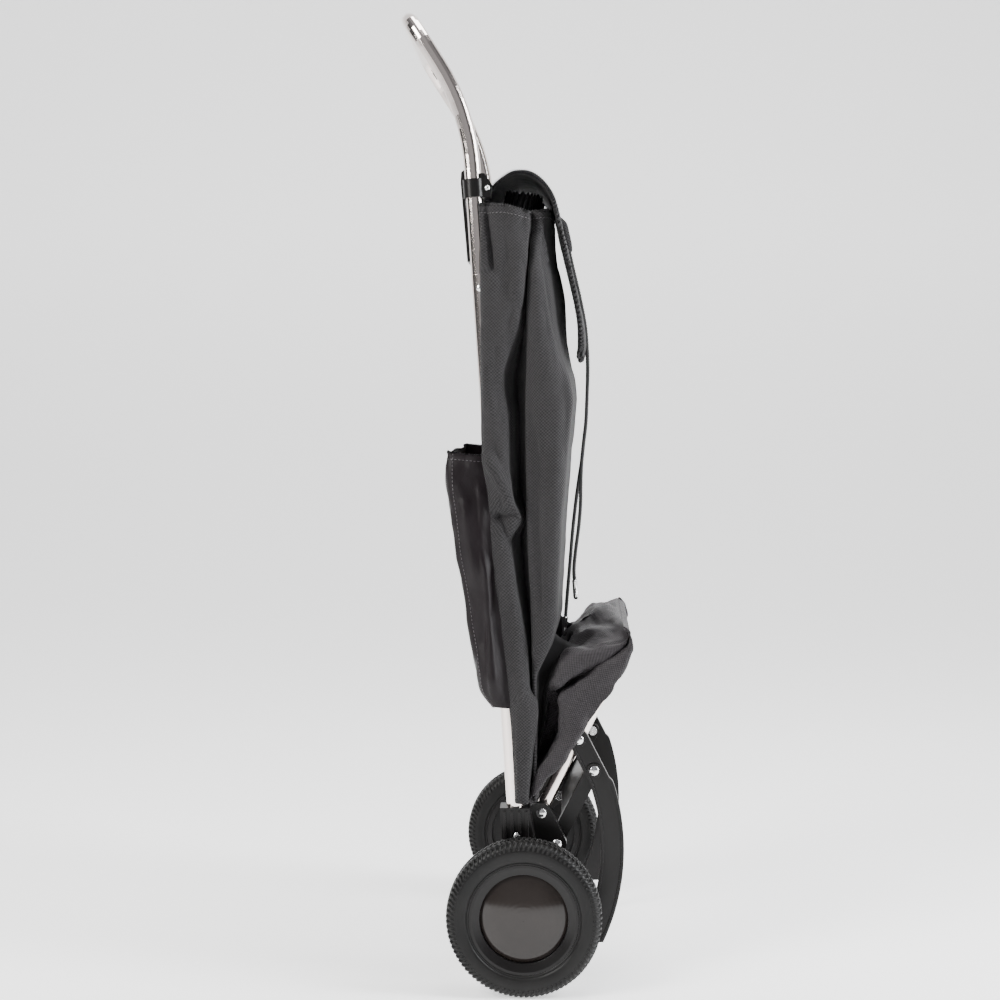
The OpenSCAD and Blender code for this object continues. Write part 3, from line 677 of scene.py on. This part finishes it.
# The ring's four stretches of cloth: first column, last column, and the one whose threads run straight.
COLUMN_PANELS = [(0, 56, 25), (56, 136, 85), (136, 216, 185), (216, 271, 245)]
rim_dip = table([(-60, 0), (-45, 0), (-20, -1), (3, -9), (25, -3)], 3)


def build_column():
    """The bag's upright part, as a closed ring of cloth whose last column repeats its first."""
    levels = [np.arange(COLUMN_LOW, COLUMN_FINE, 4.0), np.arange(COLUMN_FINE, COLUMN_TOP, 3.0)]
    rows = []
    for z in np.concatenate(levels):
        outline = np.concatenate([column_section(z, 1)[::-1], column_section(z, -1)[1:-1]])
        ring = spline(outline, 5, closed=True)
        rows.append(np.concatenate([ring, ring[:1]]))
    grid = np.array(rows)
    top = np.clip((grid[..., 2] - 800) / 40, 0, 1)
    grid[..., 2] += top * rim_dip(grid[..., 0]) * np.clip((np.abs(grid[..., 1]) - 90) / 40, 0, 1)
    grid = shape_sides(grid)
    placed = place(grid)
    column = piece("bag_column", placed, grid_faces(*grid.shape[:2]), BAG, cloth_uv(placed, COLUMN_PANELS))
    column.data.materials.append(LINING)
    thicken(column, COLUMN_CLOTH * MM, 1.0, inner=1)
    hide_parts("bag_body")
    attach(column, "frame")
    return grid


STITCH_STEP, STITCH_R, STITCH_L = 4.2, 0.33, 2.7
STITCH_ROW = -4
RIM_HEM_R, RIM_THREAD_OUT = 1.9, 1.75


def stitches(name, line, body):
    """A broken line of thread along points in millimetres."""
    line = np.asarray(line, float)
    s = run_along(line)
    points, faces = [], []
    for start in np.arange(1, s[-1] - STITCH_L, STITCH_STEP):
        ends = [np.array([np.interp(start + f * STITCH_L, s, line[:, k]) for k in range(3)])
                for f in (0, 0.5, 1)]
        d = ends[2] - ends[0]
        d /= np.linalg.norm(d)
        n = np.cross(d, [0.3, 0.2, 0.9])
        n /= np.linalg.norm(n)
        b = np.cross(d, n)
        faces += shifted(grid_faces(3, 6, True), len(points))
        for p, r in zip(ends, (0.5, 1.0, 0.5)):
            points += [p + r * STITCH_R * (n * math.cos(a) + b * math.sin(a))
                       for a in np.linspace(0, 2 * math.pi, 6, False)]
    points = place(points)
    thing = piece(name, points, faces, THREAD, points[:, [0, 2]])
    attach(thing, body)


def build_rim(grid):
    """The rim's hem: a turned edge, and a row of stitches below it, clear of the cloth's outside."""
    out = normals_of(grid)
    edge = grid[-1] + COLUMN_CLOTH / 2 * out[-1]
    hem = tube_along("rim_hem", place(edge), RIM_HEM_R * MM, PIPING, 10)
    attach(hem, "frame")
    stitches("rim_stitches", grid[STITCH_ROW] + RIM_THREAD_OUT * out[STITCH_ROW], "frame")


build_rim(build_column())

SHELF_LEAN = math.radians(27)
SHELF_DIR = np.array([math.sin(SHELF_LEAN), math.cos(SHELF_LEAN)])
BEHIND = np.array([-SHELF_DIR[1], SHELF_DIR[0]])
PIVOT = np.array([17.0, 179.6])

# The lines of the folded foot's side, by the distance from the shelf's pivot along the shelf.
lower_edge = table([(4, 21), (11, 18.4), (45, 11), (81, 4.4), (120, -1.5), (154, -6.3), (206, -6.5),
                    (218, -3)], 5)
tuck_line = table([(4, 23), (17, 21.8), (48, 28), (82, 21), (105, 31), (117, 42), (126, 45), (153, 30),
                   (185, 10.5), (206, 1), (222, 1)], 4)
near_top = table([(4, 25), (60, 36), (100, 47), (119, 58), (148, 57), (172, 52), (182, 41), (192, 27),
                  (212, 3), (224, 2)], 3)
far_top = table([(4, 25), (60, 36), (100, 47), (119, 56), (159, 53), (195, 42), (212, 35), (219, 29),
                 (224, 20)], 3)
roll_reach = table([(4, 96), (100, 98), (122, 128), (132, 146), (224, 146)], 4)
tuck_depth = table([(4, 40), (110, 44), (125, 34), (160, 22), (200, 12), (212, 6), (224, 4)], 4)


def lobe_section(u, side):
    """Half of the bag's folded foot at a distance u along the shelf, as [behind the shelf, across]."""
    low, tuck, roll, depth = lower_edge(u), tuck_line(u), roll_reach(u), tuck_depth(u)
    top_side = near_top(u) if side < 0 else 0.3 * near_top(u) + 0.7 * far_top(u)
    top_mid = far_top(u) + 3 + 5 * math.exp(-((u - 200) / 22) ** 2)
    top_side = max(top_side, tuck + 1.0)
    floor = low + 1 if u > 200.5 else 12.6
    points = [(floor, 0), (floor, 70), (floor, 112), (floor, 120), (min(floor, low + 4), 134),
              (low + 0.8, 144), (low, 148.5), (low + 1.5, 150.6), (0.75 * low + 0.25 * tuck, 151.6),
              (0.5 * (low + tuck), 151.2), (0.25 * low + 0.75 * tuck, 149.5), (tuck - 1.2, 146),
              (tuck - 0.3, 146 - 0.6 * depth), (tuck + 0.4, 146 - depth),
              (tuck + 1.0, min(roll, 146 - 0.5 * depth)), (0.8 * tuck + 0.2 * top_side, roll),
              (0.45 * tuck + 0.55 * top_side, roll + 2.2), (0.15 * tuck + 0.85 * top_side, roll + 0.5),
              (top_side, roll - 6), (0.75 * top_side + 0.25 * top_mid, 0.78 * roll),
              (0.35 * top_side + 0.65 * top_mid, 0.45 * roll), (top_mid, 0)]
    return np.array([(v, side * y) for v, y in points])


NOSE_START, NOSE_LENGTH = 202, 20.0
# The same for the foot.
FOOT_PANELS = [(0, 47, 25), (47, 106, 65), (106, 165, 145), (165, 211, 185)]


def build_lobe():
    """The bag's folded foot, closed round the shelf and pinched together at its far end."""
    straight = np.arange(6, 200, 3.0)
    nose = 200.6 + 21.4 * np.sin(np.linspace(0.05, math.pi / 2, 18))
    rows = []
    for u in np.concatenate([straight, nose]):
        near = spline(lobe_section(u, -1), 5)
        far = spline(lobe_section(u, 1), 5)
        half = np.concatenate([near[::-1], far[1:]])
        if u > NOSE_START:
            pinch = math.sqrt(max(0.0, 1 - ((u - NOSE_START) / NOSE_LENGTH) ** 2))
            middle = 0.5 * (half[:, 0].min() + half[:, 0].max())
            half[:, 0] = middle + (half[:, 0] - middle) * max(pinch**0.6, 0.012)
            half[:, 1] *= 0.97 + 0.03 * pinch
        side = PIVOT + u * SHELF_DIR + half[:, :1] * BEHIND
        rows.append(np.stack([side[:, 0], half[:, 1], side[:, 1]], axis=1))
    grid = np.array(rows)
    x, y, z = grid[..., 0], grid[..., 1], grid[..., 2]
    u = (x - PIVOT[0]) * SHELF_DIR[0] + (z - PIVOT[1]) * SHELF_DIR[1]
    v = (x - PIVOT[0]) * BEHIND[0] + (z - PIVOT[1]) * BEHIND[1]
    top = np.clip((v - 16) / 10, 0, 1) * np.clip((u - 150) / 20, 0, 1) * (np.abs(y) < 140)
    n = normals_of(grid)
    folds = (3.2 * np.sin((y + 0.8 * x) / 15) * np.clip((140 - np.abs(y)) / 60, 0, 1)
             + 3.4 * np.sin(u / 6 + y / 38) + ruffle(grid, 26, 5.0, 5, 1.0))
    waves = ruffle(grid, 38, 5.0, 3, 0.8) + ruffle(grid, 14, 1.6, 4, 0.8)
    free = np.clip((v - 15) / 8, 0, 1) + (np.abs(y) > 138)
    grid = grid - n * (top * folds * 0.8 + waves * np.clip(free, 0, 1))[..., None]
    placed = place(grid)
    lobe = piece("bag_foot", placed, grid_faces(*grid.shape[:2], True), LOBE, cloth_uv(placed, FOOT_PANELS))
    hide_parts("bag_base")
    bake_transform(lobe)


build_lobe()


def build_throat(side, name):
    """The side cloth that joins the column's front to the foot, folded inwards between them."""
    rows = []
    for t in np.linspace(0, 1, 26):
        z = 212 + 164 * t
        u = 34 + 148 * t
        top = near_top(u) - 3
        near_end = np.array([front_right(z) - 1.5, z])
        far_end = PIVOT + u * SHELF_DIR + top * BEHIND
        row = []
        for share in np.linspace(0, 1, 17):
            p = near_end * (1 - share) + far_end * share
            y = 126 - 20 * math.sin(math.pi * share) - 20 * t**2 + 2.5 * math.sin(share * 9 + t * 6)
            row.append((p[0], side * y, p[1] - 8 * math.sin(math.pi * share) * t))
        rows.append(row)
    grid = np.array(rows)
    throat = piece(name, place(grid), grid_faces(*grid.shape[:2]), LINING, cloth_uv(place(grid)))
    thicken(throat, 0.8 * MM, 0.0)
    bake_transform(throat)


build_throat(-1, "near_throat")
build_throat(1, "far_throat")


# ---------------------------------------------------------------- collar, flap and tab

# The flap's middle line in side view: from the back of the rim over its root, then down to the tip.
YOKE = [[-43.8, 834], [-42, 851], [-34, 864], [-27, 870]]
FLAP_LINE = [[-19, 875.5], [-11, 878.5], [3, 877.5], [16, 870], [26, 857.5], [32.5, 841.5], [40, 808],
             [47, 779], [54, 749], [60, 716], [62, 690], [60, 679]]
FLAP_HALF = 127.0
FLAP_ACROSS = 88
TIP_LENGTH, TIP_NARROWS = 26, 0.09
DROOP, DROOP_WAVE, DROOP_PHASE = 1.6, 41, 0.6
BINDING_R, TIP_BINDING = 3.1, 0.905


def flap_width(s, end):
    """The flap's share of its full width at a distance s along it."""
    tip = np.clip((s - (end - TIP_LENGTH)) / TIP_LENGTH, 0, 1)
    return 1 - TIP_NARROWS * tip**2.5


def flap_section(x, z, out, thick, along, share, width):
    """A closed outline across the flap: its upper row, then its lower row back."""
    top, bottom = [], []
    for y in FLAP_HALF * np.sin(np.linspace(-math.pi / 2, math.pi / 2, FLAP_ACROSS + 1)):
        edge = math.sqrt(max(0.0, 1 - (abs(y) / FLAP_HALF) ** 30))
        puff = 1 + 0.12 * math.sin(y / 17) * math.sin(along / 23)
        droop = DROOP * math.sin(y / DROOP_WAVE + DROOP_PHASE) * share**2
        h = 0.5 * thick * edge
        top.append((x + out[0] * (h * puff + droop), y * width, z + out[1] * (h * puff + droop)))
        bottom.append((x + out[0] * (droop - h), y * width, z + out[1] * (droop - h)))
    return top + bottom[::-1][1:-1]


def flap_ends(rows, columns):
    """The faces that close the flap's two ends, from the upper row to the lower one."""
    last = (rows - 1) * columns
    faces = []
    for a in range(FLAP_ACROSS):
        corners = list(dict.fromkeys((a, a + 1, columns - a - 1, (columns - a) % columns)))
        faces += [[last + v for v in corners], corners[::-1]]
    return faces


def flap_binding(line, s):
    """The bound edge: one side of the flap, its tip, and the other side."""
    sides = []
    for side in (-1, 1):
        sides.append([(x, side * (FLAP_HALF + 0.4) * flap_width(d, s[-1]), z) for (x, z), d in zip(line, s)])
    reach = FLAP_HALF * TIP_BINDING
    tip = [(line[-1, 0] - 0.3, y, line[-1, 1] - 1.5) for y in np.linspace(-reach, reach, 40)[1:-1]]
    path = np.array(sides[0] + tip + sides[1][::-1], float)
    share = (s / s[-1]) ** 2
    droop = DROOP * np.sin(path[:, 1] / DROOP_WAVE + DROOP_PHASE)
    path[:, 0] += droop * np.concatenate([share, np.ones(len(tip)), share[::-1]])
    binding = tube_along("flap_binding", place(path), BINDING_R * MM, PIPING, 16)
    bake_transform(binding)


def build_flap():
    """The padded flap: weave on its upper side, lining below, and a bound edge."""
    line = spline(YOKE + FLAP_LINE, 6)
    s = run_along(line)
    t = tangents(line)
    out = np.stack([-t[:, 1], t[:, 0]], axis=1)
    thick = np.interp(s, [0, 60, s[-1] - 60, s[-1] - 12, s[-1]], [3.4, 4.4, 4.8, 7.0, 5.0])
    rows = [flap_section(x, z, out[i], thick[i], s[i], s[i] / s[-1], flap_width(s[i], s[-1]))
            for i, (x, z) in enumerate(line)]
    grid = np.array(rows)
    n = normals_of(grid)
    waves = ruffle(grid, 34, 1.5, 6) + ruffle(grid, 12, 0.4, 7)
    settle = np.clip((s - 30) / 40, 0, 1)[:, None] * np.clip((FLAP_HALF - np.abs(grid[..., 1])) / 10, 0, 1)
    grid = grid + n * (waves * settle)[..., None]
    columns = grid.shape[1]
    faces = grid_faces(len(grid), columns, True) + flap_ends(len(grid), columns)
    flap = piece("flap_cover", place(grid), faces, BAG, cloth_uv(place(grid)))
    flap.data.materials.append(LINING)
    for polygon in flap.data.polygons:
        if sum(v % columns > FLAP_ACROSS for v in polygon.vertices) >= 3:
            polygon.material_index = 1
    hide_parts("flap")
    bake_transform(flap)
    flap_binding(line, s)


build_flap()

# Sections of the sewn tab from its top down: a point of the flap, and the tab's share of its height there.
TAB_SECTIONS = [(31.8, 842, 0.0), (33.6, 836, 0.6), (35.2, 830.5, 0.95), (37.6, 819.5, 1.0), (40, 808, 1.0),
                (41.6, 801.3, 0.85), (42, 799.9, 0.5)]
TAB_OUT = np.array([0.972, 0.235])
TAB_HALF, TAB_BASE, TAB_H = 10.5, 1.9, 7.0


def build_tab():
    """The domed tab on the flap that both cord strands come out of."""
    rows = []
    for x, z, grow in TAB_SECTIONS:
        base = np.array([x, z]) + TAB_BASE * TAB_OUT
        high = np.array([x, z]) + (TAB_BASE + TAB_H * grow) * TAB_OUT
        ring = []
        for a in np.linspace(0, math.pi, 15):
            p = base + (high - base) * min(1.0, 1.5 * math.sin(a)) ** 0.6
            ring.append((p[0], -TAB_HALF * math.cos(a), p[1]))
        rows.append(ring)
    grid = spline(rows, 4)
    tab = piece("drawstring_tab", place(grid), grid_faces(*grid.shape[:2]), BAG, cloth_uv(place(grid)))
    thicken(tab, 1.0 * MM)
    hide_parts("cord_tab")
    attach(tab, "flap_body")


build_tab()

COLLAR_Z, COLLAR_AROUND = 818, 220


def build_collar():
    """A gathered collar inside the rim, drawn partly shut."""
    rows = []
    for share in np.linspace(0, 1, 22):
        ring = []
        for k in range(COLLAR_AROUND):
            a = 2 * math.pi * k / COLLAR_AROUND
            gather = 1 + 0.055 * share * math.sin(a * 31) + 0.03 * share * math.sin(a * 17 + 1)
            half_y = (118 - 26 * share**2) * gather
            half_x = (22 - 2 * share**1.5) * gather
            x = -13 + half_x * math.copysign(abs(math.cos(a)) ** 0.75, math.cos(a)) + 9 * share
            y = half_y * math.copysign(abs(math.sin(a)) ** 0.6, math.sin(a))
            lift = 46 * share - 5 * share * (abs(math.sin(a)) ** 4) - 7 * share * max(0.0, math.cos(a))
            ring.append((x, y, COLLAR_Z + lift + 1.2 * share * math.sin(a * 31 + 0.7)))
        rows.append(ring)
    placed = place(rows)
    faces = grid_faces(len(rows), COLLAR_AROUND, True)
    collar = piece("gathered_collar", placed, faces, LINING, cloth_uv(placed))
    thicken(collar, 0.6 * MM, 0.0)
    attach(collar, "frame")


build_collar()


# ---------------------------------------------------------------- rear pocket

pocket_back = table([(578, -83.5), (535, -83.5), (501, -79), (459, -72.5), (385, -60.5), (312, -48),
                     (299, -33)], 5)
POCKET_TOP, POCKET_LOW = 570.0, 299.0
POCKET_CREASES = [((-43.5, 455), (-34, 312), 3.5, 3.2), ((-70, 530), (-52, 430), 7, 1.8),
                  ((-76, 490), (-50, 360), 6, -2.0), ((-50, 540), (-46, 440), 5, 1.4),
                  ((-58, 420), (-44, 320), 5, 1.2)]
THREAD_OUT = -0.8


def pocket_section(z, side):
    """Half of the pocket's outline at height z, from the bag round to the middle of its back."""
    rear = pocket_back(z)
    front = rear_edge(z) + 1.5
    mouth = np.clip((z - 530) / 40, 0, 1)
    sag = np.clip((z - POCKET_LOW) / 60, 0, 1)
    points = [(front + 1, 152.2), (front - 1.5, 153.6), (0.75 * front + 0.25 * rear, 154.4),
              (0.5 * front + 0.5 * rear, 154.8 - 2 * mouth), (0.2 * front + 0.8 * rear, 153.4 - 2 * mouth),
              (rear + 1.5, 150), (rear, 144), (rear - 1.0 * sag, 120), (rear - 3.2 * sag, 60),
              (rear - 4 * sag, 0)]
    return spline([(x, side * y, z) for x, y in points], 7)


def build_pocket():
    """The rear pocket: its cloth, hem, two rows of stitches and floor."""
    levels = np.concatenate([[POCKET_LOW], np.arange(POCKET_LOW + 2, POCKET_TOP, 3.2), [POCKET_TOP]])
    rows = [np.concatenate([pocket_section(z, -1), pocket_section(z, 1)[::-1][1:]]) for z in levels]
    grid = np.array(rows)
    x, y, z = grid[..., 0], grid[..., 1], grid[..., 2]
    lift = sum(crease(x, z, *fold) for fold in POCKET_CREASES)
    outer = np.clip((np.abs(y) - 140) / 8, 0, 1)
    grid[..., 1] += np.sign(y) * outer * lift
    n = normals_of(grid)
    waves = ruffle(grid, 50, 5.0, 8) + ruffle(grid, 19, 1.3, 9)
    fade = np.clip((rear_edge(z) - x) / 8, 0, 1) * np.clip((POCKET_TOP - z) / 14, 0.25, 1)
    grid = grid - n * (np.abs(waves) * fade)[..., None]
    top = np.clip((grid[..., 2] - 540) / 30, 0, 1)
    grid[..., 2] += top * (0.8 * np.sin(grid[..., 1] / 21) + 3 * np.clip((-50 - grid[..., 0]) / 30, 0, 1)
                           * (np.abs(grid[..., 1]) > 130))
    placed = place(grid)
    pocket = piece("pocket_cover", placed, grid_faces(*grid.shape[:2]), POCKET, cloth_uv(placed))
    thicken(pocket, 1.0 * MM, 0.0)
    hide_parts("rear_pocket")
    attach(pocket, "frame")
    hem = tube_along("pocket_hem", place(grid[-1]), 1.5 * MM, POCKET, 8)
    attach(hem, "frame")
    stitches("pocket_hem_stitches", grid[STITCH_ROW] + n[STITCH_ROW] * THREAD_OUT, "frame")
    near_half = grid[-1, : grid.shape[1] // 2, 0]
    corner = int(np.argmin(np.abs(near_half - (pocket_back(560) + 6))))
    stitches("pocket_seam_stitches", grid[:, corner] + n[:, corner] * THREAD_OUT, "frame")
    build_pocket_floor(grid[0])


def build_pocket_floor(edge):
    """Closes the pocket between its lowest line and the bag, sagging a little."""
    rows = []
    for share in np.linspace(0, 1, 6):
        ring = edge.copy()
        ring[:, 0] = edge[:, 0] + (rear_edge(POCKET_LOW) + 2 - edge[:, 0]) * share
        ring[:, 1] = edge[:, 1] * (1 - 0.02 * share)
        ring[:, 2] = POCKET_LOW - 1.5 * math.sin(math.pi * share) + share
        rows.append(ring)
    placed = place(rows)
    floor = piece("pocket_floor", placed, grid_faces(*placed.shape[:2]), POCKET, cloth_uv(placed))
    thicken(floor, 1.0 * MM, 0.0)
    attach(floor, "frame")


build_pocket()


# ---------------------------------------------------------------- tyres

TYRE_HALF = 16.0
TYRE_R = 82.5
WHEEL_Y = JOINTS["left_wheel_spin"]["pos_m"][1] / MM
SHOULDER = 8.0
TREAD_H = 1.9
TURNS, KNOBS = 144, 92


def shoulder(angles_deg):
    """Points round the tyre's shoulder, as [radius, distance outwards]."""
    centre_r, centre_y = TYRE_R - TREAD_H - SHOULDER, -TYRE_HALF + 0.6 + SHOULDER
    return [(centre_r + SHOULDER * math.sin(a), centre_y - SHOULDER * math.cos(a))
            for a in np.radians(angles_deg)]


def tyre_profile():
    """Outer line of the tyre without its tread, as [radius, distance outwards], from bead to bead."""
    side = [(58, -12.6), (59.5, -13.6), (60.6, -12.9), (61.6, -14.6), (66, -15.6), (70, -15.9), (73.2, -15.6)]
    half = side + shoulder(np.arange(12, 91, 13))
    return np.array(half + [(r, -y) for r, y in reversed(half)])


# One knob of the tread from the crown over the shoulder: its line, outward direction, height and slant.
KNOB_ANGLES = [70, 48, 26, 6]
KNOB_CROWN = [(TYRE_R - TREAD_H, y) for y in (-0.9, -4, -7.4)]
KNOB_LINE = np.array(KNOB_CROWN + shoulder(KNOB_ANGLES) + [(73.5, -15.5)])
KNOB_BEND = [(math.sin(a), -math.cos(a)) for a in np.radians(KNOB_ANGLES)]
KNOB_OUT = np.array([(1, 0)] * len(KNOB_CROWN) + KNOB_BEND + [(0.1, -1)])
KNOB_HEIGHT = np.array([1, 1, 1, 1, 0.9, 0.7, 0.45, 0.1]) * TREAD_H
KNOB_SLANT = np.array([0.0, 0.45, 0.95, 1.05, 0.8, 0.55, 0.4, 0.3]) * (2 * math.pi / KNOBS)


def turned_point(r, y, angle, side):
    """A point of a profile turned about the axle by an angle from the top."""
    return (r * math.sin(angle), side * y, r * math.cos(angle))


def knob_points(start, row, side):
    """The points of one knob, four across at each step of its line."""
    points = []
    for i, (r, y) in enumerate(KNOB_LINE):
        wide = (0.31 if i % 2 else 0.27) * 2 * math.pi / KNOBS
        for angle, lift in ((-wide, -0.4), (-0.72 * wide, 1.0), (0.72 * wide, 1.0), (wide, -0.4)):
            height = KNOB_HEIGHT[i] * lift
            rr, yy = r + KNOB_OUT[i, 0] * height, y + KNOB_OUT[i, 1] * height * 0.7
            points.append(turned_point(rr, -row * yy, start + KNOB_SLANT[i] + angle, side))
    return points


def build_tyre(name, node, body, side, wheel_y):
    """A tyre turned about the axle, with a row of knobs on each half of its tread."""
    centre = np.array([0, wheel_y, TYRE_R])
    profile = spline(tyre_profile(), 2)
    columns = len(profile)
    points = []
    for k in range(TURNS):
        points += [centre + turned_point(r, y, 2 * math.pi * k / TURNS, side) for r, y in profile]
    last = (TURNS - 1) * columns
    faces = grid_faces(TURNS, columns)
    faces += [(last + k, last + k + 1, k + 1, k) for k in range(columns - 1)]
    end = 4 * (len(KNOB_LINE) - 1)
    knob_faces = grid_faces(len(KNOB_LINE), 4) + [(0, 1, 2, 3), (end + 3, end + 2, end + 1, end)]
    for k in range(KNOBS):
        for row in (-1, 1):
            start = 2 * math.pi * (k + (0.5 if row > 0 else 0)) / KNOBS
            faces += shifted(knob_faces, len(points))
            points += [centre + p for p in knob_points(start, row, side)]
    tyre = piece(name, place(points), faces, RUBBER)
    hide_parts(node)
    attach(tyre, body)


build_tyre("right_tread_tyre", "right_tyre", "right_wheel", -1, -WHEEL_Y)
build_tyre("left_tread_tyre", "left_tyre", "left_wheel", 1, WHEEL_Y)


# ---------------------------------------------------------------- floor


def build_floor():
    """A pale floor that turns up into a backdrop."""
    bend, reach, width = 1.2, 2.6, 9.0
    line = [(-7.0, 0.0), (-2.0, 0.0), (reach, 0.0)]
    for a in np.linspace(0.1, math.pi / 2, 14):
        line.append((reach + bend * math.sin(a), bend - bend * math.cos(a)))
    line.append((reach + bend, 7.0))
    grid = np.array([[(x, y, z) for x in np.linspace(-width, width, 3)] for y, z in line])
    m = Maker("pale_floor")
    spot = m.noise(m.coordinates("Object"), 2.0, 2)
    m.set(
        Base_Color=m.mix(spot, [0.86, 0.86, 0.86, 1], [0.9, 0.9, 0.9, 1]),
        Roughness=0.6,
        Emission_Color=(1, 1, 1, 1),
        Emission_Strength=0.85,
    )
    floor = piece("floor", grid, grid_faces(*grid.shape[:2]), m.material)


build_floor()
